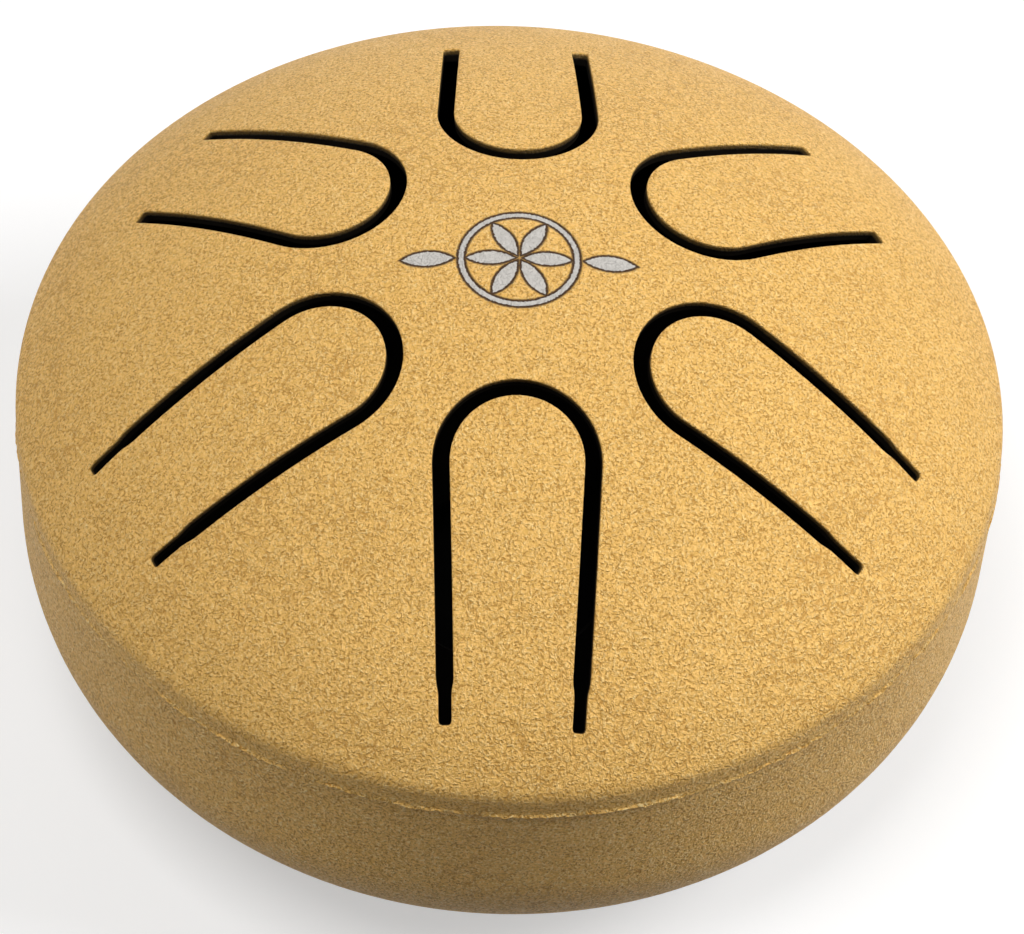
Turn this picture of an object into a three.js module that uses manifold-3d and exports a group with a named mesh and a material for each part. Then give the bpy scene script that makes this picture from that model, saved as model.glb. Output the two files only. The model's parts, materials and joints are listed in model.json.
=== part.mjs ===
// A small six-note steel tongue drum: a pressed lid with six sprung tongues, welded to a pressed bowl on three feet.
// Millimetres, +Z up. The origin is on the ground under the middle of the drum, and the longest tongue is at -Y.
import * as THREE from "three";
import { mergeVertices } from "three/addons/utils/BufferGeometryUtils.js";
import Module from "manifold-3d";

// Body
const BODY_RADIUS = 40;
const SHEET = 1.2;
const CROWN_RISE = 16.9; // from the top of the straight wall to the middle of the playing face
const SHOULDER_RADIUS = 28;
const EDGE_TILT = 50; // how far the shoulder leans from level where the edge begins, in degrees
const EDGE_BEND = 0.8; // inside radius of the crisp edge between shoulder and straight wall
const SKIRT_HEIGHT = 1.65; // straight wall of the lid, from the seam up to the edge
const SIDE_HEIGHT = 9.8; // straight wall of the bowl, from its lower corner up to the seam
const BASE_CORNER_RADIUS = 14;
const SOUND_HOLE_RADIUS = 9;

// Weld seam between lid and bowl
const GROOVE = 0.5; // how far the V groove reaches into the sheet, and up and down from the seam
const BEAD_PROUD = 0.15;
const BEAD_FLAT = 0.4; // height of the outermost band of the bead

// Tongues
const TIP_CIRCLE_RADIUS = 12.65; // the circle that all the tips touch
const TIP_RADIUS = 5.2;
const TAPER = 0.044; // each side draws in by this much for each millimetre towards the root
const SLOT = 1.35;
const TUNING_SLOT = 1; // the finer saw cut that ends each side of a sawn slot
const TUNING_CUT = 1.9; // how much of a side the finer cut takes
const TUNING_EASE = 0.8; // the length over which a slot narrows to the finer cut
const ROOT_MARGIN = 4.05; // from the root of the longest tongue to the outside of the wall
const ROOT_GAP = 0.3; // room across the root for the tongue to turn

// Each tongue's bearing from above, its pitch against the lowest note, whether its slot was sawn on to tune it,
// and how far its two cuts run past the root, on the left-hand and right-hand side looking outwards.
const NOTES = [
  { bearing: 270, pitch: 1, sawn: true, leftCut: 0.35, rightCut: 0.05 },
  { bearing: 210, pitch: 9 / 8, sawn: true, leftCut: 0.5, rightCut: 0.6 },
  { bearing: 330, pitch: 5 / 4, sawn: true, leftCut: 0.4, rightCut: 0.65 },
  { bearing: 150, pitch: 3 / 2, sawn: false, leftCut: 0.6, rightCut: 0.85 },
  { bearing: 30, pitch: 5 / 3, sawn: false, leftCut: 0.3, rightCut: 0.65 },
  { bearing: 90, pitch: 2, sawn: false, leftCut: 0.6, rightCut: 0.55 },
];

// Feet
const FOOT_RADIUS = 5;
const FOOT_HEIGHT = 3;
const FOOT_DRAFT = 0.6; // how much narrower the foot is at the ground
const FOOT_EDGE = 0.8; // rounding where the foot meets the ground
const FOOT_MARGIN = 1; // from a foot to the edge of the flat base
const FOOT_BEARINGS = [270, 30, 150];
const ADHESIVE_THICKNESS = 0.3;
const ADHESIVE_INSET = 0.4;

// Fineness of the round surfaces
const BODY_SIDES = 72;
const FOOT_SIDES = 24;
const CROWN_STEPS = 7;
const BEND_STEPS = 6;
const EDGE_STEPS = 4;
const TIP_STEPS = 10;

// Heights and radii that follow from the sizes above
const baseBottom = FOOT_HEIGHT + ADHESIVE_THICKNESS;
const cornerTop = baseBottom + BASE_CORNER_RADIUS;
const seamHeight = cornerTop + SIDE_HEIGHT;
const wallTop = seamHeight + SKIRT_HEIGHT;
const baseFlatRadius = BODY_RADIUS - BASE_CORNER_RADIUS;

const QUARTER = Math.PI / 2;
const radians = THREE.MathUtils.degToRad;

// The lid's outside is a chain of arcs that run smoothly into each other: edge, shoulder, crown.
const edgeRadius = EDGE_BEND + SHEET;
const edgeCentre = BODY_RADIUS - edgeRadius;
const shoulderStart = QUARTER - radians(EDGE_TILT);
const shoulderCentre = edgeCentre - (SHOULDER_RADIUS - edgeRadius) * Math.cos(shoulderStart);
const shoulderDrop = (SHOULDER_RADIUS - edgeRadius) * Math.sin(shoulderStart);

// The crown is the sphere through the top of the drum that runs smoothly into the shoulder.
const crownAboveShoulder = CROWN_RISE + shoulderDrop;
const crownRadius =
  (shoulderCentre ** 2 + crownAboveShoulder ** 2 - SHOULDER_RADIUS ** 2) /
  (2 * (crownAboveShoulder - SHOULDER_RADIUS));
const crownCentre = wallTop + CROWN_RISE - crownRadius;
const crownStart = Math.acos(shoulderCentre / (crownRadius - SHOULDER_RADIUS));

const longestTongue = BODY_RADIUS - ROOT_MARGIN - TIP_CIRCLE_RADIUS;
const tipCentre = TIP_CIRCLE_RADIUS + TIP_RADIUS;
const taperAngle = Math.atan(TAPER);
const footCircle = baseFlatRadius - FOOT_MARGIN - FOOT_RADIUS;

// Finishes
const goldCoat = new THREE.MeshStandardMaterial({ color: 0xb88a4a, roughness: 0.45, metalness: 0.85 });
const coatedWeld = new THREE.MeshStandardMaterial({ color: 0xc9a468, roughness: 0.4, metalness: 0.85 });
const softRubber = new THREE.MeshStandardMaterial({ color: 0x1c1c1e, roughness: 0.8, metalness: 0 });
const adhesive = new THREE.MeshStandardMaterial({ color: 0xd8d6cf, roughness: 0.7, metalness: 0 });

const wasm = await Module();
wasm.setup();

// A closed three.js geometry as a solid that can be cut.
function solidOf(geometry) {
  const bare = geometry.clone();
  bare.deleteAttribute("normal");
  bare.deleteAttribute("uv");
  const merged = mergeVertices(bare, 1e-4);
  const triangles = [];
  const index = merged.index.array;
  for (let i = 0; i < index.length; i += 3) {
    const [a, b, c] = index.slice(i, i + 3);
    if (a !== b && b !== c && c !== a) triangles.push(a, b, c);
  }
  return new wasm.Manifold(
    new wasm.Mesh({
      numProp: 3,
      vertProperties: merged.attributes.position.array,
      triVerts: new Uint32Array(triangles),
    }),
  );
}

function geometryOf(solid) {
  const mesh = solid.getMesh();
  return new THREE.BufferGeometry()
    .setAttribute("position", new THREE.BufferAttribute(mesh.vertProperties, 3))
    .setIndex(new THREE.BufferAttribute(mesh.triVerts, 1));
}

// Points on an arc of a profile, with angles measured from outwards towards up.
function arc(centreRadius, centreHeight, radius, from, to, steps) {
  return Array.from({ length: steps + 1 }, (_, i) => {
    const angle = from + ((to - from) * i) / steps;
    return [centreRadius + radius * Math.cos(angle), centreHeight + radius * Math.sin(angle)];
  });
}

// A profile of [radius, height] points turned round the Z axis.
function turned(profile, sides) {
  const points = profile.map(([radius, height]) => new THREE.Vector2(Math.max(radius, 0), height));
  return new THREE.LatheGeometry(points, sides).rotateX(QUARTER);
}

// One face of the lid from the wall top to the axis, set in from the outside by a depth.
function lidFace(depth) {
  const edge = arc(edgeCentre, wallTop, edgeRadius - depth, 0, shoulderStart, EDGE_STEPS);
  const shoulderHeight = wallTop - shoulderDrop;
  const bend = SHOULDER_RADIUS - depth;
  const shoulder = arc(shoulderCentre, shoulderHeight, bend, shoulderStart, crownStart, BEND_STEPS).slice(1);
  const crown = arc(0, crownCentre, crownRadius - depth, crownStart, QUARTER, CROWN_STEPS).slice(1, -1);
  return [...edge, ...shoulder, ...crown, [0, crownCentre + crownRadius - depth]];
}

// The pressed lid before its slots are cut, with its rim chamfered for the weld.
function blankLid() {
  const rim = [
    [BODY_RADIUS - SHEET, seamHeight],
    [BODY_RADIUS - GROOVE, seamHeight],
    [BODY_RADIUS, seamHeight + GROOVE],
  ];
  return turned([...lidFace(SHEET).reverse(), ...rim, ...lidFace(0)], BODY_SIDES);
}

// Half the width of a tongue, or of the opening round it, at a distance from the middle of the drum.
function halfWidth(distance, tipRadius) {
  return tipRadius / Math.cos(taperAngle) - TAPER * (distance - tipCentre);
}

function rootOf(note) {
  return TIP_CIRCLE_RADIUS + longestTongue / Math.sqrt(note.pitch);
}

// How far each edge of a slot steps in where the finer saw cut begins.
function stepOf(note) {
  return note.sawn ? (SLOT - TUNING_SLOT) / 2 : 0;
}

// The round tip of a tongue or of its opening, from the right-hand to the left-hand side.
function tipArc(shape, radius) {
  shape.absarc(tipCentre, 0, radius, taperAngle - QUARTER, QUARTER - taperAngle, true);
}

// Seen from above with the drum's middle at the origin and the root along +X.
function tongueOutline(note) {
  const end = rootOf(note) - ROOT_GAP / 2;
  const fine = rootOf(note) - TUNING_CUT;
  const full = fine - TUNING_EASE;
  const wider = TIP_RADIUS + stepOf(note);
  const shape = new THREE.Shape();
  shape.moveTo(end, -halfWidth(end, wider));
  shape.lineTo(fine, -halfWidth(fine, wider));
  shape.lineTo(full, -halfWidth(full, TIP_RADIUS));
  tipArc(shape, TIP_RADIUS);
  shape.lineTo(full, halfWidth(full, TIP_RADIUS));
  shape.lineTo(fine, halfWidth(fine, wider));
  shape.lineTo(end, halfWidth(end, wider));
  return shape;
}

// The opening in the lid: the slot with the tongue it frees, and the two cuts that run past the root.
function openingOutline(note) {
  const end = rootOf(note) + ROOT_GAP / 2;
  const left = rootOf(note) + note.leftCut + ROOT_GAP / 2;
  const right = rootOf(note) + note.rightCut + ROOT_GAP / 2;
  const fine = rootOf(note) - TUNING_CUT;
  const full = fine - TUNING_EASE;
  const outer = TIP_RADIUS + SLOT;
  const narrower = outer - stepOf(note);
  const inner = TIP_RADIUS + stepOf(note);
  const shape = new THREE.Shape();
  shape.moveTo(end, -halfWidth(end, inner));
  shape.lineTo(right, -halfWidth(right, inner));
  shape.lineTo(right, -halfWidth(right, narrower));
  shape.lineTo(fine, -halfWidth(fine, narrower));
  shape.lineTo(full, -halfWidth(full, outer));
  tipArc(shape, outer);
  shape.lineTo(full, halfWidth(full, outer));
  shape.lineTo(fine, halfWidth(fine, narrower));
  shape.lineTo(left, halfWidth(left, narrower));
  shape.lineTo(left, halfWidth(left, inner));
  shape.lineTo(end, halfWidth(end, inner));
  return shape;
}

// An outline as an upright prism through the whole lid, turned to the note's bearing.
function throughLid(outline, note) {
  const prism = new THREE.ExtrudeGeometry(outline, {
    depth: SKIRT_HEIGHT + CROWN_RISE + SHEET,
    bevelEnabled: false,
    curveSegments: TIP_STEPS,
  });
  prism.translate(0, 0, seamHeight).rotateZ(radians(note.bearing));
  return solidOf(prism);
}

// The pressed bowl: flat base with its sound hole, rounded corner, straight wall and a rim chamfered for the weld.
function bowl() {
  const outside = arc(baseFlatRadius, cornerTop, BASE_CORNER_RADIUS, -QUARTER, 0, BEND_STEPS);
  const inside = arc(baseFlatRadius, cornerTop, BASE_CORNER_RADIUS - SHEET, 0, -QUARTER, BEND_STEPS);
  const hole = [SOUND_HOLE_RADIUS, baseBottom];
  const rim = [
    [BODY_RADIUS, seamHeight - GROOVE],
    [BODY_RADIUS - GROOVE, seamHeight],
    [BODY_RADIUS - SHEET, seamHeight],
  ];
  return turned([hole, ...outside, ...rim, ...inside, [SOUND_HOLE_RADIUS, baseBottom + SHEET], hole], BODY_SIDES);
}

// The weld fills the V groove and stands a little proud of the wall.
function weldBead() {
  const root = [BODY_RADIUS - GROOVE, seamHeight];
  const face = [
    [BODY_RADIUS, seamHeight - GROOVE],
    [BODY_RADIUS + BEAD_PROUD, seamHeight - BEAD_FLAT / 2],
    [BODY_RADIUS + BEAD_PROUD, seamHeight + BEAD_FLAT / 2],
    [BODY_RADIUS, seamHeight + GROOVE],
  ];
  return turned([root, ...face, root], BODY_SIDES);
}

function footBody() {
  const groundRadius = FOOT_RADIUS - FOOT_DRAFT;
  const edge = arc(groundRadius - FOOT_EDGE, FOOT_EDGE, FOOT_EDGE, -QUARTER, 0, BEND_STEPS / 2);
  return turned([[0, 0], ...edge, [FOOT_RADIUS, FOOT_HEIGHT], [0, FOOT_HEIGHT]], FOOT_SIDES);
}

function adhesiveDisc() {
  const radius = FOOT_RADIUS - ADHESIVE_INSET;
  const disc = new THREE.CylinderGeometry(radius, radius, ADHESIVE_THICKNESS, FOOT_SIDES);
  return disc.rotateX(QUARTER).translate(0, 0, FOOT_HEIGHT + ADHESIVE_THICKNESS / 2);
}

function piece(name, geometry, material) {
  const mesh = new THREE.Mesh(geometry, material);
  mesh.name = name;
  return mesh;
}

const drum = new THREE.Group();

// The lid is cut by its six openings, and each tongue is the part of the blank lid inside its own outline.
const blank = solidOf(blankLid());
const lid = NOTES.reduce((cut, note) => cut.subtract(throughLid(openingOutline(note), note)), blank);
drum.add(piece("upper_shell", geometryOf(lid), goldCoat));
NOTES.forEach((note, i) => {
  const tongue = blank.intersect(throughLid(tongueOutline(note), note));
  drum.add(piece(`tongue_${i + 1}`, geometryOf(tongue), goldCoat));
});

drum.add(piece("lower_shell", bowl(), goldCoat));
drum.add(piece("seam_weld", weldBead(), coatedWeld));

// Each foot and its adhesive disc stand in a group on the foot circle.
FOOT_BEARINGS.forEach((bearing, i) => {
  const stand = new THREE.Group();
  stand.position.set(footCircle * Math.cos(radians(bearing)), footCircle * Math.sin(radians(bearing)), 0);
  stand.add(piece(`foot_${i + 1}`, footBody(), softRubber));
  stand.add(piece(`foot_adhesive_${i + 1}`, adhesiveDisc(), adhesive));
  drum.add(stand);
});

export default drum;
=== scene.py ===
# %% [markdown]
# # A small six-note steel tongue drum
#
# The drum is two steel pressings welded together: a domed lid whose six slots free six springing
# tongues, and a bowl with a sound hole underneath. A wrinkled gold powder coat covers the outside, and
# three rubber feet carry it.
#
# This lesson dresses the drum's construction frame. The frame already holds every piece at its real
# size, so each piece made here takes its place from the frame and stands for one node of it. The
# shells, the weld, the feet and their tape are tied to the drum's body.

# %% Load the construction frame
import json
import math

import bmesh
import bpy
from mathutils import Matrix, Vector, noise


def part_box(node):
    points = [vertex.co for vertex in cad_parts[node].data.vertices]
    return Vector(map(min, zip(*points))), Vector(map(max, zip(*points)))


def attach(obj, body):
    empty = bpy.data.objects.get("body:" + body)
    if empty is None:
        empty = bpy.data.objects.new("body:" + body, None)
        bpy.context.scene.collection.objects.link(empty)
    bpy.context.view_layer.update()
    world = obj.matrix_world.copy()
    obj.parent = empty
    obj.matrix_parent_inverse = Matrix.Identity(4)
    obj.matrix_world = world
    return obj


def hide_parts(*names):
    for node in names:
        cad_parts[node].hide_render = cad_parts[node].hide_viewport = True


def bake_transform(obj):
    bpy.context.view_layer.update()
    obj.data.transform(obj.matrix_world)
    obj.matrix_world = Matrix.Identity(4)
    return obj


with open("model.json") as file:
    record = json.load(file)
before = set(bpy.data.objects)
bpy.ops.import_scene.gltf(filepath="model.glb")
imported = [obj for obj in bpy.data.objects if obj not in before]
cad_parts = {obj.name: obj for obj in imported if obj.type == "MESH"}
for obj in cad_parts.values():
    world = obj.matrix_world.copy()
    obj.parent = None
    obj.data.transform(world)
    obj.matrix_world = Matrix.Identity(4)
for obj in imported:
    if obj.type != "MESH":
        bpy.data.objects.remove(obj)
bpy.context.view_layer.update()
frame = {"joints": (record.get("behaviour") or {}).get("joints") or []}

# %% [markdown]
# ## Sizes
#
# The work is done in millimetres, because a sheet of 1.2 is easier to think about than one of 0.0012.
# Each finished mesh is scaled to metres once, at its end. The outer sizes are read from the frame's
# boxes, and the sheet and its bends are named here.

# %% Read the outer sizes and name the rest
MM = 0.001


def millimetres(corner):
    return Vector(round(metres / MM, 3) for metres in corner)


bowl_low, bowl_high = map(millimetres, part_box("lower_shell"))
lid_high = millimetres(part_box("upper_shell")[1])
BODY_RADIUS = bowl_high.x
BASE_HEIGHT = bowl_low.z
SEAM_HEIGHT = bowl_high.z
TOP_HEIGHT = lid_high.z

SHEET = 1.2
SHOULDER_RADIUS = 28.0
EDGE_TILT = math.radians(50)
EDGE_BEND = 0.8
SKIRT_HEIGHT = 1.65
BASE_CORNER_RADIUS = 14.0
SOUND_HOLE_RADIUS = 9.0
ROUND_STEPS = 180
QUARTER = math.pi / 2
print("body", BODY_RADIUS * 2, "mm across, seam at", SEAM_HEIGHT, "mm, top at", TOP_HEIGHT, "mm")

# %% [markdown]
# ## The camera
#
# The view looks down on the drum from the front at about 52 degrees. A long lens from a short way off
# gives the mild perspective of a product shot. The camera is rolled a little, and the drum stands
# turned a few degrees under it, so the camera is placed on the drum's front line first and then turned
# round the drum's axis.

# %% Place the camera
VIEW_ELEVATION = math.radians(52.06)
VIEW_TURN = math.radians(-2.82)
VIEW_ROLL = math.radians(3.71)
VIEW_DISTANCE = 377.7
VIEW_TARGET = Vector((0.49, 0.0, 19.02))
VIEW_LENS = 160.3

camera_data = bpy.data.cameras.new("camera")
camera_data.sensor_width = 36
camera_data.lens = VIEW_LENS
camera_data.clip_start = 0.01
camera_data.clip_end = 20
camera = bpy.data.objects.new("camera", camera_data)
bpy.context.scene.collection.objects.link(camera)
bpy.context.scene.camera = camera

lean = Matrix.Rotation(QUARTER - VIEW_ELEVATION, 4, "X")
roll = Matrix.Rotation(VIEW_ROLL, 4, "Z")
back_off = Matrix.Translation((0, 0, VIEW_DISTANCE * MM))
look_at = Matrix.Translation(VIEW_TARGET * MM)
camera.matrix_world = Matrix.Rotation(VIEW_TURN, 4, "Z") @ look_at @ lean @ back_off @ roll
print("camera", [round(x, 4) for x in camera.matrix_world.translation])

# %% [markdown]
# ## Nodes for the finishes
#
# A finish is a small network of shader nodes. One helper adds a node, sets its options and fills its
# sockets, so that each finish below reads as a recipe. All patterns read Object coordinates scaled to
# millimetres, so a pattern has the same size on every piece and runs on across the joints between
# pieces.

# %% Helpers that add shader nodes
def add(tree, kind, sockets=(), **options):
    """A new node of this kind with its options set, and each of its sockets given a value or a link."""
    made = tree.nodes.new("ShaderNode" + kind)
    for option, value in options.items():
        setattr(made, option, value)
    for socket, value in dict(sockets).items():
        if isinstance(value, bpy.types.NodeSocket):
            tree.links.new(value, made.inputs[socket])
        else:
            made.inputs[socket].default_value = value
    return made


def math_node(tree, operation, *values):
    return add(tree, "Math", enumerate(values), operation=operation).outputs[0]


def times(tree, first, second):
    return math_node(tree, "MULTIPLY", first, second)


def ramp(tree, value, low, high, from_value=0.0, to_value=1.0):
    """A smooth step of a value between two thresholds."""
    sockets = {"Value": value, "From Min": low, "From Max": high, "To Min": from_value, "To Max": to_value}
    return add(tree, "MapRange", sockets, interpolation_type="SMOOTHSTEP").outputs["Result"]


def mix_colour(tree, factor, first, second):
    sockets = {0: factor, 6: first, 7: second}
    return add(tree, "Mix", sockets, data_type="RGBA", clamp_factor=True).outputs[2]


def mottle(tree, place, scale, detail, roughness=0.5):
    """A cloudy noise with this many features to the millimetre."""
    sockets = {"Vector": place, "Scale": scale, "Detail": detail, "Roughness": roughness}
    return add(tree, "TexNoise", sockets).outputs["Fac"]


def new_finish(name):
    """A material with a Principled shader, its node tree and coordinates in millimetres."""
    material = bpy.data.materials.new(name)
    material.use_nodes = True
    tree = material.node_tree
    place = add(tree, "TexCoord").outputs["Object"]
    scaled = add(tree, "Mapping", {"Vector": place, "Scale": (1 / MM, 1 / MM, 1 / MM)}).outputs["Vector"]
    return material, tree, tree.nodes["Principled BSDF"], scaled


print("helpers: add, math_node, times, ramp, mix_colour, mottle and new_finish")

# %% [markdown]
# ## The gold coat
#
# A wrinkle powder coat shrinks as it cures, and its skin buckles into small pillows, with creases
# between them and flecks on them. A picture of the coat would have to be unrolled over the drum,
# so the pattern is made of noise in three dimensions instead. A fine noise gives the pillows. Coarser
# ones, folded at their middle value, give the creases and the flecks. In patches longer folds run
# through, and here and there a painted glint stands for a metal flake. The heights add up to one bump.
# The colour carries painted light too: painted shade in the creases and painted highlights on the
# flecks, stronger on the wall than on the face. Part of the coat's shine has the colour of the coat
# itself, because of the flakes in it.
#
# In the middle of the lid an old carpenter's ornament is etched through the coat down to the steel: six
# petals in a ring, between two leaves. The etching leaves a burnt edge in the coat. Where a slot is
# cut, the coat wraps the lip and thins out in the cut, and below it the cut wall darkens to brown and
# then near black with depth, as painted shade in the narrow cut. Each vertex there carries its depth.

# %% Draw the etched rosette
PETALS = 6
PETAL = {"centre": 2.25, "half_length": 1.85, "half_width": 0.62}
LEAF = {"centre": 7.2, "half_length": 2.0, "half_width": 0.7}
RING_RADIUS = 4.55
RING_LINE = 0.2


def length_of(tree, x, y):
    squares = math_node(tree, "MULTIPLY_ADD", x, x, times(tree, y, y))
    return math_node(tree, "SQRT", squares)


def leaf_shape(tree, along, across, centre, half_length, half_width):
    """How far inside a pointed leaf between two arcs a place is, in millimetres. Negative outside it."""
    arc_radius = (half_length**2 + half_width**2) / (2 * half_width)
    x = math_node(tree, "SUBTRACT", along, centre)
    y = math_node(tree, "ADD", math_node(tree, "ABSOLUTE", across), arc_radius - half_width)
    return math_node(tree, "SUBTRACT", arc_radius, length_of(tree, x, y))


def etched_rosette(tree, place):
    """How far inside the petals, the ring or the leaves a place is, in millimetres."""
    axes = add(tree, "SeparateXYZ", {0: place}).outputs
    away = length_of(tree, axes["X"], axes["Y"])
    bearing = math_node(tree, "ARCTAN2", axes["Y"], axes["X"])
    turn = math_node(tree, "PINGPONG", bearing, math.pi / PETALS)
    along = times(tree, away, math_node(tree, "COSINE", turn))
    across = times(tree, away, math_node(tree, "SINE", turn))
    petals = leaf_shape(tree, along, across, **PETAL)
    leaves = leaf_shape(tree, math_node(tree, "ABSOLUTE", axes["X"]), axes["Y"], **LEAF)
    off_ring = math_node(tree, "ABSOLUTE", math_node(tree, "SUBTRACT", away, RING_RADIUS))
    ring = math_node(tree, "SUBTRACT", RING_LINE, off_ring)
    return math_node(tree, "MAXIMUM", petals, math_node(tree, "MAXIMUM", leaves, ring))


print("rosette:", PETALS, "petals,", 2 * (LEAF["centre"] + LEAF["half_length"]), "mm across its leaves")

# %% Fold the skin of the coat
# Scales are in features to the millimetre, and a width is how far the noise may be from its middle value.
PILLOWS = 4.6
LONG_FOLDS = {"scale": 0.6, "width": 0.035}
FINE_FOLDS = {"scale": 2.2, "width": 0.09}
FLECKS = {"scale": 2.3, "width": 0.09}
FLAKES = 5.0


def folds(tree, place, scale, width):
    """Thin lines along the middle value of a noise, as a skin folds."""
    skin = mottle(tree, place, scale, 1.5)
    off_middle = math_node(tree, "ABSOLUTE", math_node(tree, "SUBTRACT", skin, 0.5))
    return ramp(tree, off_middle, 0.0, width, 1.0, 0.0)


def glints(tree, place):
    """Painted glints of a few small flakes, each in a cell of its own."""
    cells = add(tree, "TexVoronoi", {"Vector": place, "Scale": FLAKES}).outputs
    chance = add(tree, "SeparateColor", {0: cells["Color"]}).outputs["Red"]
    chosen = ramp(tree, chance, 0.92, 0.96)
    spot = ramp(tree, cells["Distance"], 0.2, 0.45, 1.0, 0.0)
    return times(tree, chosen, spot)


print("pillows of", round(1 / PILLOWS, 2), "mm, fine folds of", round(1 / FINE_FOLDS["scale"], 2), "mm")

# %% Mix the gold coat
GOLD_PALE = (0.94, 0.57, 0.175, 1)
GOLD_DEEP = (0.74, 0.43, 0.11, 1)
GOLD_CREASE_SHADE = (0.40, 0.175, 0.025, 1)
GLINT = (1.0, 0.77, 0.36, 1)
BURNT_EDGE = (0.06, 0.03, 0.012, 1)
ETCHED_STEEL = (0.60, 0.57, 0.53, 1)
CUT_WALL_SHADE = (0.11, 0.068, 0.022, 1)
DARK_STEEL_AND_SHADE = (0.003, 0.0025, 0.002, 1)
LIP = 0.1
COAT_IN_CUT = 0.3
FLAKE_METAL = 0.06
SHEEN = 0.12
RELIEF = 0.13
WRIGGLES = 1.1
WRIGGLE = (0.4, 0.4, 0.4)
PATCHES = 0.09
SWELLS = 0.45
WALL_TO_FACE = (SEAM_HEIGHT, SEAM_HEIGHT + 2 * SKIRT_HEIGHT)
# How strong the painted shade in the creases and the painted highlights on the flecks are, from the wall up
# to the face.
CREASE_SHADE_STRENGTH = {"from_value": 0.8, "to_value": 0.6}
FLECK_HIGHLIGHT_STRENGTH = {"from_value": 0.9, "to_value": 0.4}
GLINT_TONE = 0.7
CREASE_RISE = -0.3
FLECK_RISE = 0.3
BURNT_RISE = -0.6
SWELL_RISE = 1.3
RAGGED = 0.24
BURNT_BAND = (-0.32, -0.12)
BRIGHT_BAND = (-0.02, 0.04)


def gold_coat():
    material, tree, shader, place = new_finish("gold_coat")
    bend = add(tree, "TexNoise", {"Vector": place, "Scale": WRIGGLES, "Detail": 1.0}).outputs["Color"]
    bent = add(tree, "VectorMath", {0: bend, 1: WRIGGLE, 2: place}, operation="MULTIPLY_ADD").outputs[0]
    pillow = mottle(tree, bent, PILLOWS, 2.0, 0.6)
    patch = mottle(tree, place, PATCHES, 1.0)
    swell = mottle(tree, place, SWELLS, 1.0)
    long_folds = times(tree, folds(tree, bent, **LONG_FOLDS), ramp(tree, patch, 0.44, 0.58, 0.0, 0.8))
    fine_folds = times(tree, folds(tree, bent, **FINE_FOLDS), ramp(tree, pillow, 0.4, 0.56, 1.0, 0.0))
    # The creases are sunk in the bump and carry painted shade in the colour.
    creases = math_node(tree, "MAXIMUM", fine_folds, long_folds)
    # The flecks are raised in the bump and carry painted highlights in the colour.
    flecks = times(tree, folds(tree, place, **FLECKS), ramp(tree, pillow, 0.46, 0.6))

    level = add(tree, "SeparateXYZ", {0: place}).outputs["Z"]
    crease_shade = ramp(tree, level, *WALL_TO_FACE, **CREASE_SHADE_STRENGTH)
    fleck_highlight = ramp(tree, level, *WALL_TO_FACE, **FLECK_HIGHLIGHT_STRENGTH)
    ragged = math_node(tree, "MULTIPLY_ADD", pillow, RAGGED, -RAGGED / 2)
    inside_rosette = math_node(tree, "ADD", etched_rosette(tree, place), ragged)
    burnt = ramp(tree, inside_rosette, *BURNT_BAND)
    bright = ramp(tree, inside_rosette, *BRIGHT_BAND)
    # Painted shade down a cut: the coat thins out and loses its flakes, then the wall turns brown and nearly
    # black with depth.
    depth = add(tree, "Attribute", attribute_name="cut_depth").outputs["Fac"]
    bare = ramp(tree, depth, 0.3 * LIP, COAT_IN_CUT)
    dark = ramp(tree, depth, 1.2 * COAT_IN_CUT, 0.5 * SHEET)

    # Pillow tone, partly the coat's own uneven tone and partly painted light: deeper in the valleys as
    # painted shade, paler on the tops as painted highlight.
    tone = mix_colour(tree, ramp(tree, pillow, 0.34, 0.66), GOLD_DEEP, GOLD_PALE)
    # Layered over the tone: painted shade in the creases, painted highlights on flecks and glints, the
    # rosette's burnt edge and etched steel, and painted shade down the cuts.
    layers = (
        (times(tree, creases, crease_shade), GOLD_CREASE_SHADE),
        (times(tree, flecks, fleck_highlight), GLINT),
        (times(tree, glints(tree, bent), GLINT_TONE), GLINT),
        (burnt, BURNT_EDGE),
        (bright, ETCHED_STEEL),
        (bare, CUT_WALL_SHADE),
        (dark, DARK_STEEL_AND_SHADE),
    )
    for share, colour in layers:
        tone = mix_colour(tree, share, tone, colour)
    height = pillow
    rises = ((creases, CREASE_RISE), (flecks, FLECK_RISE), (burnt, BURNT_RISE), (swell, SWELL_RISE))
    for form, rise in rises:
        height = math_node(tree, "MULTIPLY_ADD", form, rise, height)
    bump = add(tree, "Bump", {"Height": height, "Strength": 1.0, "Distance": RELIEF * MM})
    metal = times(tree, math_node(tree, "SUBTRACT", 1.0, bare), FLAKE_METAL)

    tree.links.new(tone, shader.inputs["Base Color"])
    tree.links.new(metal, shader.inputs["Metallic"])
    tree.links.new(ramp(tree, pillow, 0.35, 0.65, 0.55, 0.42), shader.inputs["Roughness"])
    tree.links.new(bump.outputs["Normal"], shader.inputs["Normal"])
    shader.inputs["Specular IOR Level"].default_value = SHEEN
    return material


coat = gold_coat()
print("gold coat:", len(coat.node_tree.nodes), "nodes")

# %% [markdown]
# ## The dark inside
#
# The coat is sprayed from outside, so the inside of the shells keeps the mill-dark steel, and its
# colour is taken nearly to black as painted shade, because little light gets in. That is why the
# slots look black. A faint cloudiness is enough.

# %% Mix the inside steel and its painted shade
CLOUDED_STEEL = (0.009, 0.007, 0.005, 1)
INSIDE_SHEEN = 0.05


def dark_steel_and_shade():
    material, tree, shader, place = new_finish("dark_steel_and_shade")
    cloud = mottle(tree, place, 0.35, 3.0)
    tone = mix_colour(tree, cloud, DARK_STEEL_AND_SHADE, CLOUDED_STEEL)
    tree.links.new(tone, shader.inputs["Base Color"])
    tree.links.new(ramp(tree, cloud, 0.3, 0.7, 0.55, 0.75), shader.inputs["Roughness"])
    shader.inputs["Specular IOR Level"].default_value = INSIDE_SHEEN
    return material


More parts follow.
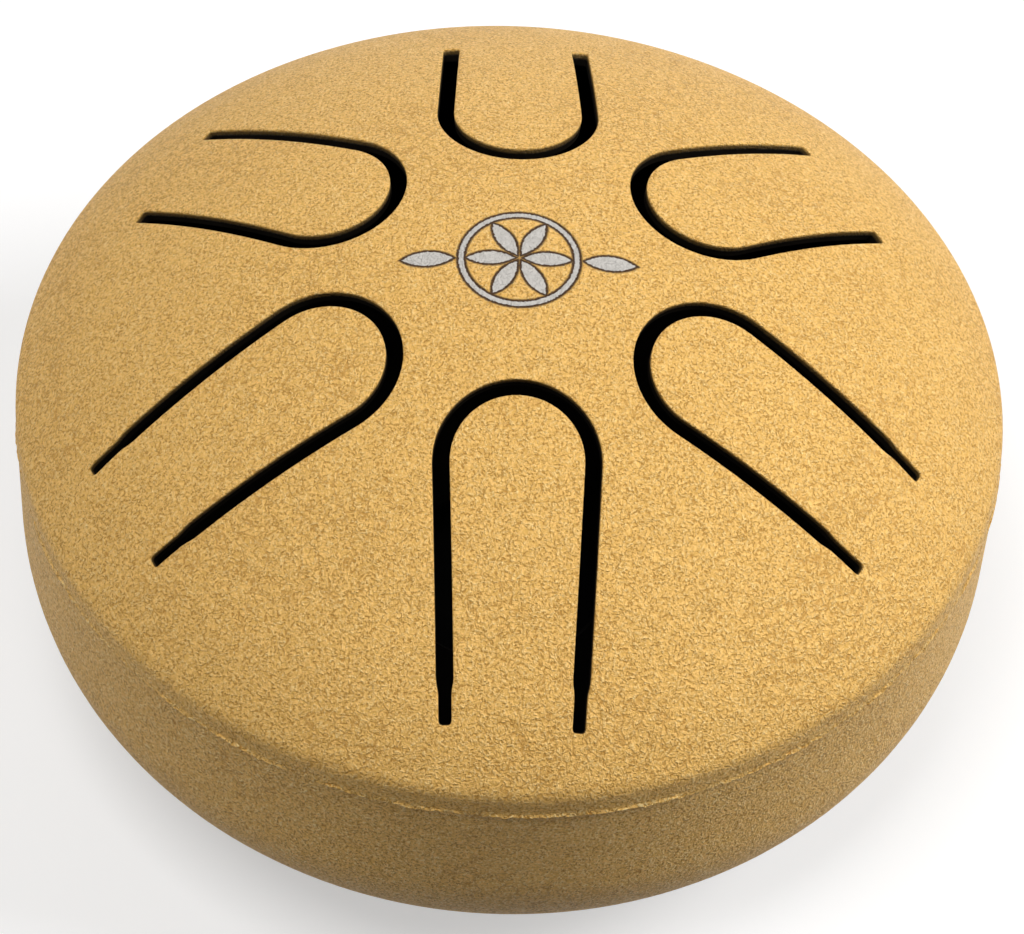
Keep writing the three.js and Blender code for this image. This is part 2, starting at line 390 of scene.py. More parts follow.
inside = dark_steel_and_shade()
print("inside steel:", len(inside.node_tree.nodes), "nodes")

# %% [markdown]
# ## The dome
#
# The lid's outside is a chain of three arcs that run into each other: the crown, the shoulder, and a
# tight bend at the crisp edge above the straight skirt. Two questions are asked of it below: how high
# the outside is at a distance from the axis, and how far it tilts there. The inside is the same chain,
# one sheet thickness in.

# %% Work out the arcs of the dome
edge_radius = EDGE_BEND + SHEET
edge_centre = BODY_RADIUS - edge_radius
wall_top = SEAM_HEIGHT + SKIRT_HEIGHT
shoulder_centre = edge_centre - (SHOULDER_RADIUS - edge_radius) * math.sin(EDGE_TILT)
shoulder_height = wall_top - (SHOULDER_RADIUS - edge_radius) * math.cos(EDGE_TILT)
shoulder_rise = TOP_HEIGHT - shoulder_height
crown_radius = shoulder_centre**2 + shoulder_rise**2 - SHOULDER_RADIUS**2
crown_radius /= 2 * (shoulder_rise - SHOULDER_RADIUS)
crown_centre = TOP_HEIGHT - crown_radius
crown_tilt = math.asin(shoulder_centre / (crown_radius - SHOULDER_RADIUS))


def dome_at(distance):
    """Height and tilt of the lid's outside at a distance from the axis."""
    if distance < crown_radius * math.sin(crown_tilt):
        tilt = math.asin(distance / crown_radius)
        return crown_centre + crown_radius * math.cos(tilt), tilt
    tilt = math.asin((distance - shoulder_centre) / SHOULDER_RADIUS)
    return shoulder_height + SHOULDER_RADIUS * math.cos(tilt), tilt


def press(point):
    """A point of the flat blank on the dome, with its depth under the blank as depth in the sheet."""
    distance = math.hypot(point.x, point.y)
    height, tilt = dome_at(distance)
    inward = 1 + point.z * math.sin(tilt) / distance if distance else 1
    return Vector((point.x * inward, point.y * inward, height + point.z * math.cos(tilt)))


crown_lean = round(math.degrees(crown_tilt), 1)
print("crown radius", round(crown_radius, 2), "mm, leaning", crown_lean, "degrees at its end")

# %% [markdown]
# ## The slots
#
# Each slot runs down both sides of a tongue and round its tip. The three longest tongues were tuned:
# their slots end in a finer saw cut on each side, which lowers the note. The frame's joints give each
# tongue's bearing and root. A cut edge is drawn as a path from the right-hand end of the root, round
# the tip, to the left-hand end, first for a tongue that points along +X.

# %% Draw the cut edges
TIP_CIRCLE_RADIUS = 12.65
TIP_RADIUS = 5.2
TAPER = 0.044
SLOT = 1.35
TUNING_CUT = 1.9
TUNING_EASE = 0.8
TIP_STEPS = 32

tip_centre = TIP_CIRCLE_RADIUS + TIP_RADIUS
taper_angle = math.atan(TAPER)


def half_width(distance, tip_radius):
    return tip_radius / math.cos(taper_angle) - TAPER * (distance - tip_centre)


def side_point(distance, tip_radius):
    return Vector((distance, half_width(distance, tip_radius)))


def tip_arc(radius):
    sweep = math.pi + 2 * taper_angle
    angles = [taper_angle - QUARTER - sweep * i / TIP_STEPS for i in range(TIP_STEPS + 1)]
    return [Vector((tip_centre + radius * math.cos(a), radius * math.sin(a))) for a in angles]


def both_sides(right, tip, left):
    """A path down the right-hand side, round the tip and up the left-hand side."""
    return [Vector((p.x, -p.y)) for p in right] + tip + left[::-1]


def tongue_path(seam, root, step):
    fine = root - TUNING_CUT
    full = fine - TUNING_EASE
    wider = TIP_RADIUS + step
    side = [side_point(seam, wider), side_point(fine, wider), side_point(full, TIP_RADIUS)]
    return both_sides(side, tip_arc(TIP_RADIUS), side)


def opening_path(seam, root, cuts, step):
    fine = root - TUNING_CUT
    full = fine - TUNING_EASE
    inner = TIP_RADIUS + step
    outer = TIP_RADIUS + SLOT
    narrower = outer - step
    sides = []
    for cut in cuts:
        end = root + cut
        side = [side_point(seam, inner), side_point(end, inner), side_point(end, narrower)]
        side += [side_point(fine, narrower), side_point(full, outer)]
        sides.append(side)
    return both_sides(sides[1], tip_arc(outer), sides[0])


print("tips", TIP_CIRCLE_RADIUS, "mm from the axis, slots", SLOT, "mm wide")

# %% Soften the paths
CORNER = 0.3
CORNER_SHARE = 0.45
PATH_STEP = 0.9
NEARLY_STRAIGHT = math.radians(10)


def softened(path):
    """The path with its sharp corners rounded and its long straights broken up, to follow the dome."""
    rounded = path[:1]
    for before, corner, after in zip(path, path[1:], path[2:]):
        into, out = corner - before, after - corner
        if abs(into.angle_signed(out)) < NEARLY_STRAIGHT:
            rounded.append(corner)
            continue
        start = corner - into.normalized() * min(CORNER, into.length * CORNER_SHARE)
        end = corner + out.normalized() * min(CORNER, out.length * CORNER_SHARE)
        rounded += [start.lerp(corner, t).lerp(corner.lerp(end, t), t) for t in (0, 0.25, 0.5, 0.75, 1)]
    rounded.append(path[-1])
    fine = []
    for start, end in zip(rounded, rounded[1:]):
        parts = math.ceil((end - start).length / PATH_STEP)
        fine += [start.lerp(end, i / parts) for i in range(parts)]
    return fine + rounded[-1:]


def ways_into_sheet(path, hand):
    """The way each point of a path moves when the cut steps 1 mm into the sheet on the given hand."""
    normals = []
    for start, end in zip(path, path[1:]):
        along = (end - start).normalized()
        normals.append(Vector((-along.y, along.x)) * hand)
    ways = [Vector((0, 1 / normals[0].y))]
    for first, second in zip(normals, normals[1:]):
        ways.append((first + second) / (1 + first.dot(second)))
    return ways + [Vector((0, 1 / normals[-1].y))]


print("corners of", CORNER, "mm, straights in steps of", PATH_STEP, "mm")

# %% Place the six slots
# Of each slot, how far its cuts run past the root on the left-hand and right-hand side, looking outwards.
CUTS_PAST_ROOT = ((0.35, 0.05), (0.5, 0.6), (0.4, 0.65), (0.6, 0.85), (0.3, 0.65), (0.6, 0.55))
SAWN = (True, True, True, False, False, False)
TUNING_SLOT = 1.0
ROOT_SETBACK = 0.6

tongues = []
for joint, cuts, sawn in zip(frame["joints"], CUTS_PAST_ROOT, SAWN):
    spot = millimetres(joint["pos_m"])
    root = math.hypot(spot.x, spot.y)
    seam = root - ROOT_SETBACK
    step = (SLOT - TUNING_SLOT) / 2 if sawn else 0
    tongue = {"body": joint["child"], "bearing": math.atan2(spot.y, spot.x), "seam": seam}
    tongue["strip"] = softened(tongue_path(seam, root, step))
    tongue["opening"] = softened(opening_path(seam, root, cuts, step))
    tongues.append(tongue)
    points = len(tongue["opening"])
    print(tongue["body"], "root at", round(root, 2), "mm,", points, "points round its opening")

# %% [markdown]
# ## Cutting the blank
#
# A real lid is a flat blank that is cut and pressed, and the mesh is made in the same order. Flat sheet
# is easy to cut cleanly: the cut edge is extruded ring by ring over a small rounded lip, down the cut
# wall and round to the underside, and the faces between the edges are filled and diced into small
# squares. Pressing then moves every vertex onto the dome. A boolean cut through the finished dome would
# leave ragged lips that no bevel could round.

# %% Roll a cut edge over its lip
LIP_STEPS = 4
UNDER_LIP = 0.1
BORDER = 0.5


def lip_rings():
    """Inset from the cut and depth in the sheet of each ring, from the border to the underside."""
    rings = [(LIP, 0)]
    for step in range(1, LIP_STEPS + 1):
        turn = QUARTER * step / LIP_STEPS
        rings.append((LIP * (1 - math.sin(turn)), LIP * (1 - math.cos(turn))))
    return rings + [(0, SHEET / 2), (0, SHEET - UNDER_LIP), (UNDER_LIP, SHEET)]


def start_cut(bm, path, hand, bearing):
    """The border line of a cut edge, on the blank's face."""
    way_layer = bm.verts.layers.float_vector.get("way") or bm.verts.layers.float_vector.new("way")
    turn = Matrix.Rotation(bearing, 3, "Z")
    line = []
    for point, way in zip(path, ways_into_sheet(path, hand)):
        vert = bm.verts.new(turn @ (point + way * BORDER).to_3d())
        vert[way_layer] = turn @ way.to_3d()
        line.append(vert)
    return [bm.edges.new(pair) for pair in zip(line, line[1:])]


def roll_cut(bm, edges):
    """Extrudes the border line over the lip and down the cut. Returns its last ring, underneath."""
    way_layer = bm.verts.layers.float_vector.get("way")
    inset = BORDER
    for next_inset, depth in lip_rings():
        made = bmesh.ops.extrude_edge_only(bm, edges=edges)["geom"]
        moved = {item for item in made if isinstance(item, bmesh.types.BMVert)}
        for vert in moved:
            vert.co += vert[way_layer] * (next_inset - inset)
            vert.co.z = -depth
        edges = [e for e in made if isinstance(e, bmesh.types.BMEdge) and moved.issuperset(e.verts)]
        inset = next_inset
    return edges


print("lip rings:", len(lip_rings()))

# %% Fill flat sheet and close the roots
DICE = 1.0
DICE_SNAP = 0.04
SAME_PLACE = 1e-3


def once_each(items):
    """The items without repeats, in their order, so that every run builds the same mesh."""
    return list(dict.fromkeys(items))


def root_line(bm, edges):
    """The straight edge that joins the two ends of a cut line across the root."""
    verts = [v for e in edges for v in e.verts]
    return bm.edges.new([v for v in verts if verts.count(v) == 1])


def fill_and_dice(bm, edges, pitch):
    """Fills flat sheet between closed loops of edges, and cuts it into squares."""
    filled = bmesh.ops.triangle_fill(bm, use_beauty=True, edges=edges, normal=(0, 0, 1))["geom"]
    faces = [item for item in filled if isinstance(item, bmesh.types.BMFace)]
    geometry = once_each(v for f in faces for v in f.verts)
    geometry += once_each(e for f in faces for e in f.edges)
    geometry += faces
    for axis in (0, 1):
        places = [v.co[axis] for v in geometry if isinstance(v, bmesh.types.BMVert)]
        line = math.floor(min(places) / pitch) + 0.5
        while line * pitch < max(places):
            level = Vector((0, 0, 0))
            level[axis] = line * pitch
            across = Vector((0, 0, 0))
            across[axis] = 1
            cut = bmesh.ops.bisect_plane(
                bm, geom=geometry, dist=DICE_SNAP, plane_co=level, plane_no=across
            )
            geometry = cut["geom"]
            line += 1
    squares = [item for item in geometry if isinstance(item, bmesh.types.BMFace)]
    sheet = set(squares)
    slanted = []
    for edge in once_each(e for f in squares for e in f.edges):
        run = edge.verts[1].co - edge.verts[0].co
        inner = len(edge.link_faces) == 2 and sheet.issuperset(edge.link_faces)
        if inner and min(abs(run.x), abs(run.y)) > SAME_PLACE:
            slanted.append(edge)
    bmesh.ops.dissolve_edges(bm, edges=slanted, use_verts=False)


def close_root(bm, bearing, seam):
    """The end wall across a root, in the plane where the tongue meets the lid."""
    outward = Vector((math.cos(bearing), math.sin(bearing), 0))
    open_edges = [e for e in bm.edges if len(e.link_faces) == 1]
    rim = [e for e in open_edges if all(abs(v.co.dot(outward) - seam) < SAME_PLACE for v in e.verts)]
    wall = bmesh.ops.edgeloop_fill(bm, edges=rim)["faces"]
    bmesh.ops.triangulate(bm, faces=wall)


print("sheet diced into squares of", DICE, "mm")

# %% Press the blank
def steel_and_shade_below(bm):
    """Gives the lower half of the cuts and the underside their second finish, the dark inside steel,
    darkened further as painted shade.
    """
    for face in bm.faces:
        if all(v.co.z < SAME_PLACE - SHEET / 2 for v in face.verts):
            face.material_index = 1


def press_sheet(bm):
    """Presses the whole cut blank, and notes on each vertex how deep in the cut it lies."""
    depth_layer = bm.verts.layers.float.new("cut_depth")
    for vert in bm.verts:
        vert[depth_layer] = -vert.co.z
        vert.co = press(vert.co)


tip_drop = TOP_HEIGHT - press(Vector((tip_centre, 0, 0))).z
print("pressing lowers the middle of each tip by", round(tip_drop, 2), "mm")

# %% [markdown]
# ## Finishing a piece
#
# Every piece ends the same way: its mesh is scaled to metres, shaded smooth with its real corners kept
# sharp and given its finish, and the frame's mesh for its node is hidden. Faces that look into the drum
# get the dark inside steel, which is partly painted shade.

# %% A function that finishes a piece
SHARP_CORNER = math.radians(38)


def finish_piece(bm, name, finishes, node):
    bmesh.ops.scale(bm, vec=(MM, MM, MM), verts=bm.verts)
    mesh = bpy.data.meshes.new(name)
    open_edges = sum(len(edge.link_faces) != 2 for edge in bm.edges)
    bm.to_mesh(mesh)
    bm.free()
    mesh.shade_smooth()
    mesh.set_sharp_from_angle(angle=SHARP_CORNER)
    for finish in finishes:
        mesh.materials.append(finish)
    piece = bpy.data.objects.new(name, mesh)
    bpy.context.scene.collection.objects.link(piece)
    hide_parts(node)
    triangles = sum(len(face.vertices) - 2 for face in mesh.polygons)
    print(name, "stands for", node, "with", triangles, "triangles and", open_edges, "open edges")
    return piece


print("corners over", round(math.degrees(SHARP_CORNER)), "degrees stay sharp")

# %% [markdown]
# ## The tongues
#
# A tongue is a strip of the same sheet. It stays part of the lid at its root, so its mesh ends in the
# same plane as the opening's and shows no joint there. When it is struck it bends like a springboard:
# the root stays with the body and the tip follows the tongue's own motion.

for tongue in tongues:
    bm = bmesh.new()
    face_edges = start_cut(bm, tongue["strip"], -1, tongue["bearing"])
    under_edges = roll_cut(bm, face_edges)
    fill_and_dice(bm, face_edges + [root_line(bm, face_edges)], DICE)
    fill_and_dice(bm, under_edges + [root_line(bm, under_edges)], DICE)
    close_root(bm, tongue["bearing"], tongue["seam"])
    bmesh.ops.recalc_face_normals(bm, faces=bm.faces)
    steel_and_shade_below(bm)
    press_sheet(bm)
    piece = finish_piece(bm, tongue["body"] + "_strip", (coat, inside), tongue["body"])
    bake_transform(piece)

# %% [markdown]
# ## The lid
#
# The blank's middle is a disc with the six openings. Past it the sheet turns down over the shoulder and
# the crisp edge to the skirt, and no cut reaches there, so that part is drawn down from the disc's rim:
# the rim is extruded from one circle of the profile to the next, round the lower edge, and up the
# inside to the disc's underside again.

# %% Tools for drawing down a rim
def arc(centre, height, radius, start, end, steps):
    """Circles along an arc, as distance from the axis and height. Angles are tilts from level."""
    tilts = [start + (end - start) * i / steps for i in range(steps + 1)]
    return [(centre + radius * math.sin(t), height + radius * math.cos(t)) for t in tilts]


def draw_down(bm, edges, circles):
    """Extrudes a rim of edges through circles given as distance from the axis and height."""
    for distance, height in circles:
        made = bmesh.ops.extrude_edge_only(bm, edges=edges)["geom"]
        moved = {item for item in made if isinstance(item, bmesh.types.BMVert)}
        for vert in moved:
            outward = vert.co.xy.normalized() * distance
            vert.co = (outward.x, outward.y, height)
        edges = [e for e in made if isinstance(e, bmesh.types.BMEdge) and moved.issuperset(e.verts)]


shoulder_arc = arc(shoulder_centre, shoulder_height, SHOULDER_RADIUS, crown_tilt, EDGE_TILT, 1)
print("shoulder from", [[round(x, 2) for x in circle] for circle in shoulder_arc], "mm")

# %% Cut and press the lid's middle
DISC_RADIUS = 38.0

lid = bmesh.new()
face_edges = []
under_edges = []
for tongue in tongues:
    border = start_cut(lid, tongue["opening"], 1, tongue["bearing"])
    last_ring = roll_cut(lid, border)
    face_edges += border + [root_line(lid, border)]
    under_edges += last_ring + [root_line(lid, last_ring)]
face_rim = bmesh.ops.create_circle(lid, segments=ROUND_STEPS, radius=DISC_RADIUS)["verts"]
under_rim = bmesh.ops.create_circle(
    lid, segments=ROUND_STEPS, radius=DISC_RADIUS, matrix=Matrix.Translation((0, 0, -SHEET))
)["verts"]
face_edges += once_each(e for v in face_rim for e in v.link_edges)
under_edges += once_each(e for v in under_rim for e in v.link_edges)
fill_and_dice(lid, face_edges, DICE)
fill_and_dice(lid, under_edges, DICE)
for tongue in tongues:
    close_root(lid, tongue["bearing"], tongue["seam"])
steel_and_shade_below(lid)
open_rim = [e for e in lid.edges if len(e.link_faces) == 1 and e.verts[0].co.z > -SAME_PLACE]
press_sheet(lid)
print("middle of the lid:", len(lid.faces), "faces, its open rim", len(open_rim), "edges")

# %% Draw down the rim and finish the lid
GROOVE = 0.5
SKIRT_RING = 1.2
RIM_JOIN = 0.02
SHOULDER_STEPS = 8
EDGE_STEPS = 5
INNER_SHOULDER_STEPS = 6
INNER_EDGE_STEPS = 3

disc_tilt = dome_at(DISC_RADIUS)[1]
outside = arc(shoulder_centre, shoulder_height, SHOULDER_RADIUS, disc_tilt, EDGE_TILT, SHOULDER_STEPS)[1:]
outside += arc(edge_centre, wall_top, edge_radius, EDGE_TILT, QUARTER, EDGE_STEPS)[1:]
outside += [(BODY_RADIUS, SEAM_HEIGHT + SKIRT_RING), (BODY_RADIUS, SEAM_HEIGHT + GROOVE)]
lower_edge = [(BODY_RADIUS - GROOVE, SEAM_HEIGHT), (BODY_RADIUS - SHEET, SEAM_HEIGHT)]
within = arc(edge_centre, wall_top, EDGE_BEND, QUARTER, EDGE_TILT, INNER_EDGE_STEPS)
inner_radius = SHOULDER_RADIUS - SHEET
within += arc(shoulder_centre, shoulder_height, inner_radius, EDGE_TILT, disc_tilt, INNER_SHOULDER_STEPS)[1:]
draw_down(lid, open_rim, outside + lower_edge + within)
bmesh.ops.remove_doubles(lid, verts=lid.verts, dist=RIM_JOIN)
bmesh.ops.recalc_face_normals(lid, faces=lid.faces)
lid_piece = finish_piece(lid, "lid", (coat, inside), "upper_shell")
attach(lid_piece, "drum_body")

# %% [markdown]
# ## The bowl
#
# The bowl is a plain pressing, so it is turned: its profile, with the rounded lip of the sound hole,
# the lower corner and the straight wall, is spun once round the axis.

# %% Spin the bowl
HOLE_LIP = 0.4
TURNED_IN = 0.5
TURNED_UP = 0.05
HOLE_LIP_STEPS = 4
BASE_STEPS = 6
BASE_CORNER_STEPS = 20
INNER_CORNER_STEPS = 12
WALL_STEPS = 6


def spin_profile(points, steps, middle=(0, 0, 0)):
    """A profile turned once round an upright axis. It is closed, or starts and ends on the axis."""
    bm = bmesh.new()
    verts = [bm.verts.new((distance, 0, height)) for distance, height in points]
    on_axis = points[0][0] == points[-1][0] == 0
    path = verts if on_axis else verts + verts[:1]
    edges = [bm.edges.new(pair) for pair in zip(path, path[1:])]
    bmesh.ops.spin(
        bm,
        geom=verts + edges,
        axis=(0, 0, 1),
        cent=(0, 0, 0),
        angle=2 * math.pi,
        steps=steps,
        use_merge=True,
    )
    bmesh.ops.remove_doubles(bm, verts=bm.verts, dist=SAME_PLACE)
    bmesh.ops.recalc_face_normals(bm, faces=bm.faces)
    bmesh.ops.translate(bm, vec=middle, verts=bm.verts)
    return bm


base_flat = BODY_RADIUS - BASE_CORNER_RADIUS
corner_top = BASE_HEIGHT + BASE_CORNER_RADIUS
hole_edge = SOUND_HOLE_RADIUS + HOLE_LIP
bowl_profile = arc(hole_edge, BASE_HEIGHT + HOLE_LIP, HOLE_LIP, -QUARTER, -math.pi, HOLE_LIP_STEPS)
base_width = base_flat - hole_edge
bowl_profile += [(hole_edge + base_width * i / BASE_STEPS, BASE_HEIGHT) for i in range(1, BASE_STEPS)]
bowl_profile += arc(base_flat, corner_top, BASE_CORNER_RADIUS, math.pi, QUARTER, BASE_CORNER_STEPS)
wall_height = SEAM_HEIGHT - GROOVE - corner_top
bowl_profile += [(BODY_RADIUS, corner_top + wall_height * i / WALL_STEPS) for i in range(1, WALL_STEPS + 1)]
bowl_profile += [(BODY_RADIUS - GROOVE, SEAM_HEIGHT), (BODY_RADIUS - SHEET, SEAM_HEIGHT)]
bowl_profile += arc(base_flat, corner_top, BASE_CORNER_RADIUS - SHEET, QUARTER, math.pi, INNER_CORNER_STEPS)
bowl_profile += [(hole_edge, BASE_HEIGHT + SHEET), (SOUND_HOLE_RADIUS, BASE_HEIGHT + SHEET - HOLE_LIP)]
bowl = spin_profile(bowl_profile, ROUND_STEPS)
# Faces that look into the drum get the inside steel, real dark steel darkened further as painted shade.
for face in bowl.faces:
    spot = face.calc_center_median()
    faces_axis = face.normal.xy.dot(spot.xy) < -TURNED_IN * spot.xy.length
    faces_up = face.normal.z > TURNED_UP and spot.z < SEAM_HEIGHT - SHEET
    if faces_axis or faces_up:
        face.material_index = 1
bowl_piece = finish_piece(bowl, "bowl", (coat, inside), "lower_shell")
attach(bowl_piece, "drum_body")

# %% [markdown]
# ## The weld
#
# Lid and bowl meet in a V groove that is filled with weld and then coated. What shows is a low ridge
# that wanders a little and fades in and out round the drum. The bead is spun first, and then noise
# moves its crest.

# %% Spin the weld bead
BEAD_PROUD = 0.15
BEAD_HALF = 0.16
BEAD_STEPS = ROUND_STEPS * 8
LEAST_BEAD = 0.15
BEAD_SWELL = {"scale": 0.22, "seed": 7.0}
BEAD_RIPPLE = {"scale": 1.9, "seed": 3.0}
BEAD_WANDER = {"scale": 1.6, "seed": 11.0}
WANDER_RISE = 0.28
USUAL_SHARE = 0.7
SWELL_SHARE = 1.5
RIPPLE_SHARE = 0.6


def wave(around, scale, seed):
    """Noise that changes smoothly round the drum and meets itself."""
    return noise.noise(Vector((around.x * scale, around.y * scale, seed)))


def weld_bead():
    profile = [
        (BODY_RADIUS - GROOVE, SEAM_HEIGHT),
        (BODY_RADIUS, SEAM_HEIGHT - GROOVE),
        (BODY_RADIUS, SEAM_HEIGHT - BEAD_HALF * 1.6),
        (BODY_RADIUS + BEAD_PROUD * 0.7, SEAM_HEIGHT - BEAD_HALF * 0.6),
        (BODY_RADIUS + BEAD_PROUD, SEAM_HEIGHT),
        (BODY_RADIUS + BEAD_PROUD * 0.7, SEAM_HEIGHT + BEAD_HALF * 0.6),
        (BODY_RADIUS, SEAM_HEIGHT + BEAD_HALF * 1.6),
        (BODY_RADIUS, SEAM_HEIGHT + GROOVE),
    ]
    bm = spin_profile(profile, BEAD_STEPS)
    for vert in bm.verts:
        outward = vert.co.xy
        proud = outward.length - BODY_RADIUS
        if proud > SAME_PLACE:
            around = vert.co.xy.normalized() * BODY_RADIUS
            share = USUAL_SHARE + SWELL_SHARE * wave(around, **BEAD_SWELL)
            share += RIPPLE_SHARE * wave(around, **BEAD_RIPPLE)
            keep = max(LEAST_BEAD, min(1.0, share))
            length = BODY_RADIUS + proud * keep
            vert.co.xy = outward.normalized() * length
            vert.co.z += WANDER_RISE * wave(around, **BEAD_WANDER)
    return bm


weld_piece = finish_piece(weld_bead(), "weld_bead", (coat,), "seam_weld")
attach(weld_piece, "drum_body")

# %% [markdown]
# ## The feet
#
# Each foot is a moulded rubber button with a slightly dished sole, held by a disc of foam tape. Both
# are turned like the bowl and set where the frame has them.

# %% Mix rubber and foam
RUBBER = (0.012, 0.012, 0.013, 1)
DUSTY_RUBBER = (0.026, 0.025, 0.024, 1)
FOAM = (0.68, 0.67, 0.63, 1)
FOAM_PORE = (0.48, 0.47, 0.44, 1)


def foot_rubber():
    material, tree, shader, place = new_finish("foot_rubber")
    grain = mottle(tree, place, 7.0, 2.0)
    dust = mottle(tree, place, 0.6, 3.0)
    tone = mix_colour(tree, ramp(tree, dust, 0.45, 0.7), RUBBER, DUSTY_RUBBER)
    tree.links.new(tone, shader.inputs["Base Color"])
    tree.links.new(ramp(tree, grain, 0.3, 0.7, 0.62, 0.8), shader.inputs["Roughness"])
    bump = add(tree, "Bump", {"Height": grain, "Strength": 0.6, "Distance": 0.02 * MM}).outputs["Normal"]
    tree.links.new(bump, shader.inputs["Normal"])
    return material


def foam_tape():
    material, tree, shader, place = new_finish("foam_tape")
    pores = add(tree, "TexVoronoi", {"Vector": place, "Scale": 6.0}).outputs["Distance"]
    tone = mix_colour(tree, ramp(tree, pores, 0.1, 0.5), FOAM_PORE, FOAM)
    tree.links.new(tone, shader.inputs["Base Color"])
    shader.inputs["Roughness"].default_value = 0.8
    bump = add(tree, "Bump", {"Height": pores, "Strength": 0.7, "Distance": 0.03 * MM}).outputs["Normal"]
    tree.links.new(bump, shader.inputs["Normal"])
    return material


rubber = foot_rubber()
foam = foam_tape()
print("feet:", len(rubber.node_tree.nodes), "nodes of rubber,", len(foam.node_tree.nodes), "of foam")

# %% Turn the feet and their tape
FOOT_DRAFT = 0.6
FOOT_EDGE = 0.8
FOOT_RIM = 0.3
SOLE_DISH = 0.25
TAPE_EDGE = 0.05
FOOT_STEPS = 64
FOOT_EDGE_STEPS = 6
FOOT_RIM_STEPS = 4


def foot(low, high):
    radius = (high.x - low.x) / 2
    tall = high.z - low.z
    ground = radius - FOOT_DRAFT
    profile = [(0, SOLE_DISH), (ground * 0.35, SOLE_DISH * 0.8), (ground * 0.6, 0)]
    profile += arc(ground - FOOT_EDGE, FOOT_EDGE, FOOT_EDGE, math.pi, QUARTER, FOOT_EDGE_STEPS)
    for share in (0.25, 0.5, 0.75):
        profile.append((ground + FOOT_DRAFT * share, FOOT_EDGE + (tall - FOOT_RIM - FOOT_EDGE) * share))
    profile += arc(radius - FOOT_RIM, tall - FOOT_RIM, FOOT_RIM, QUARTER, 0, FOOT_RIM_STEPS)
    profile += [(0, tall)]
    return spin_profile(profile, FOOT_STEPS, ((low.x + high.x) / 2, (low.y + high.y) / 2, low.z))


def tape(low, high):
    radius = (high.x - low.x) / 2
    tall = high.z - low.z
    profile = [(0, 0), (radius - TAPE_EDGE, 0), (radius, TAPE_EDGE)]
    profile += [(radius, tall - TAPE_EDGE), (radius - TAPE_EDGE, tall), (0, tall)]
    return spin_profile(profile, FOOT_STEPS, ((low.x + high.x) / 2, (low.y + high.y) / 2, low.z))


for number in (1, 2, 3):
    foot_node = f"foot_{number}"
    tape_node = f"foot_adhesive_{number}"
    foot_mesh = foot(*map(millimetres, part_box(foot_node)))
    tape_mesh = tape(*map(millimetres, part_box(tape_node)))
    foot_piece = finish_piece(foot_mesh, f"rubber_foot_{number}", (rubber,), foot_node)
    tape_piece = finish_piece(tape_mesh, f"foam_tape_{number}", (foam,), tape_node)
    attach(foot_piece, "drum_body")
    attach(tape_piece, "drum_body")

# %% [markdown]
# ## Floor and light
#
# The drum stands on a plain pale floor. The main light stands high on the right, so the face is
# brighter towards that side. A second one hangs nearly overhead, where it lights the face and leaves
# the wall in shade. A low one behind the drum lifts the far side, and a low one on the left opens up
# the wall there.
#
# To the camera and in the coat's sheen the floor is pale, with a little glow of its own that rises to
# white far from the drum, and the world is white. As lights both are dim, so that they don't fill the
# shade under the crisp edge. Under the drum the floor is painted nearly black and has no glow: a
# painted shadow, so that nothing shines up through the slots.

# %% Lay the floor
def grey(level):
    return (level, level, level, 1)


FLOOR_RADIUS = 3.0
FLOOR_PAINTED_SHADOW = grey(0.01)
FLOOR_DIM = grey(0.08)
FLOOR_PALE = grey(0.6)
FLOOR_GLOW = 0.48
PAINTED_SHADOW_EDGE = (BODY_RADIUS * 0.45, BODY_RADIUS * 0.75)
GLOW_RISE = (BODY_RADIUS * 1.2, BODY_RADIUS * 8)
WHITE = grey(1)


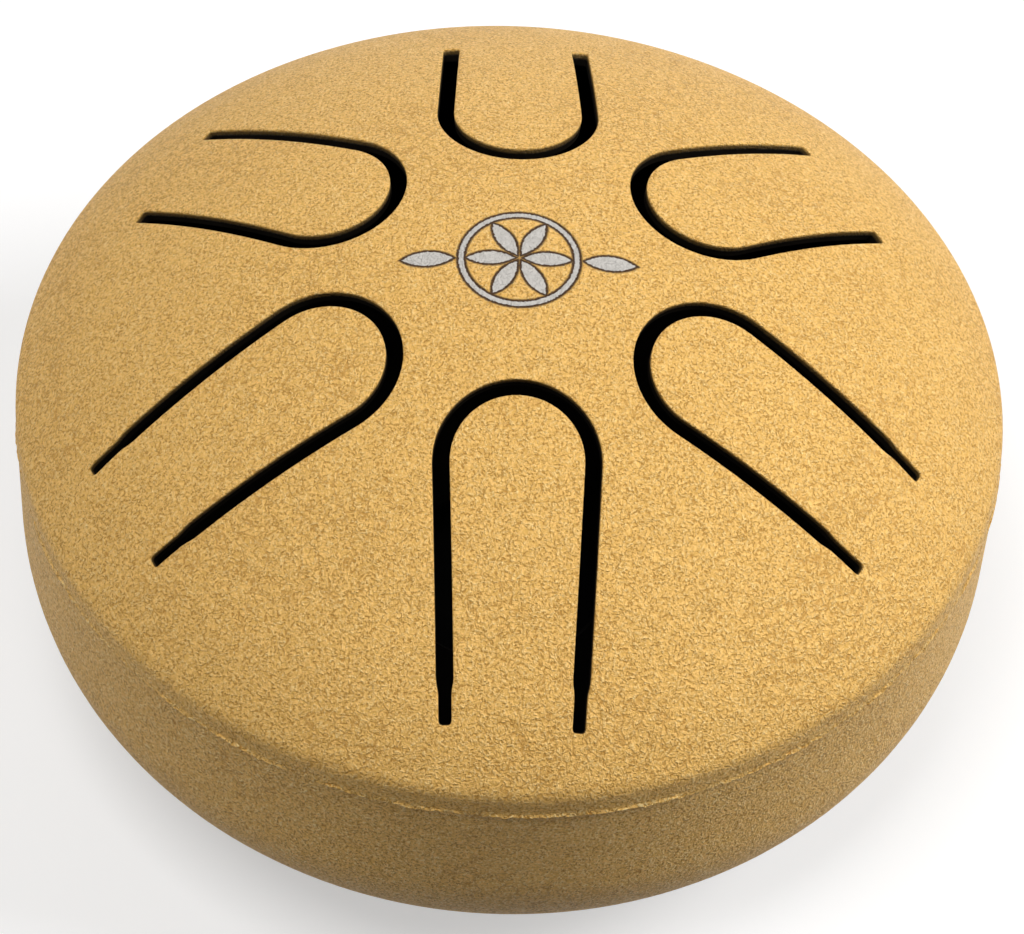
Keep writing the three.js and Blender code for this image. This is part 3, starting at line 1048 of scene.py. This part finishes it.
def stage_floor():
    bm = bmesh.new()
    bmesh.ops.create_circle(bm, cap_ends=True, segments=96, radius=FLOOR_RADIUS)
    mesh = bpy.data.meshes.new("floor")
    bm.to_mesh(mesh)
    bm.free()
    material, tree, shader, place = new_finish("floor_paper")
    shader.inputs["Roughness"].default_value = 0.9
    shader.inputs["Specular IOR Level"].default_value = 0.0
    away = add(tree, "VectorMath", {0: place}, operation="LENGTH").outputs["Value"]
    # Painted shadow: under the drum the floor is painted nearly black, fading out towards its edge.
    outside_painted_shadow = ramp(tree, away, *PAINTED_SHADOW_EDGE)
    rays = add(tree, "LightPath").outputs
    looked_at = math_node(tree, "MAXIMUM", rays["Is Camera Ray"], rays["Is Glossy Ray"])
    seen = times(tree, outside_painted_shadow, looked_at)
    dim = mix_colour(tree, outside_painted_shadow, FLOOR_PAINTED_SHADOW, FLOOR_DIM)
    tone = mix_colour(tree, seen, dim, FLOOR_PALE)
    tree.links.new(tone, shader.inputs["Base Color"])
    shader.inputs["Emission Color"].default_value = WHITE
    glow = ramp(tree, away, *GLOW_RISE, FLOOR_GLOW, 1.0)
    tree.links.new(times(tree, seen, glow), shader.inputs["Emission Strength"])
    mesh.materials.append(material)
    floor = bpy.data.objects.new("floor", mesh)
    bpy.context.scene.collection.objects.link(floor)


stage_floor()
print("floor", 2 * FLOOR_RADIUS, "m across")

# %% Hang the lights
LIGHT_DISTANCE = 0.75
LIGHT_AIM = Vector((0, 0, 0.03))
WORLD_DIM = grey(0.03)


def soft_light(name, power, size, bearing, elevation):
    """A square light that faces the drum. Its bearing counts from the front towards the right."""
    turn = math.radians(bearing)
    rise = math.radians(elevation)
    way = Vector((math.sin(turn) * math.cos(rise), -math.cos(turn) * math.cos(rise), math.sin(rise)))
    data = bpy.data.lights.new(name, "AREA")
    data.energy = power
    data.size = size
    lamp = bpy.data.objects.new(name, data)
    bpy.context.scene.collection.objects.link(lamp)
    lamp.location = way * LIGHT_DISTANCE
    lamp.rotation_euler = (LIGHT_AIM - lamp.location).to_track_quat("-Z", "Y").to_euler()


def studio_world():
    world = bpy.data.worlds.new("studio")
    world.use_nodes = True
    tree = world.node_tree
    rays = add(tree, "LightPath").outputs
    seen = math_node(tree, "MAXIMUM", rays["Is Camera Ray"], rays["Is Transmission Ray"])
    seen = math_node(tree, "MAXIMUM", seen, rays["Is Glossy Ray"])
    tone = mix_colour(tree, seen, WORLD_DIM, WHITE)
    tree.links.new(tone, tree.nodes["Background"].inputs["Color"])
    bpy.context.scene.world = world


studio_world()
soft_light("main_light", power=4.6, size=0.35, bearing=90, elevation=38)
soft_light("top_light", power=2.7, size=0.35, bearing=-45, elevation=73)
soft_light("back_light", power=1.05, size=0.4, bearing=180, elevation=16)
soft_light("left_light", power=1.3, size=0.3, bearing=-90, elevation=12)
bpy.context.scene.view_settings.view_transform = "Standard"
print("a white world and four lights", LIGHT_DISTANCE, "m away")
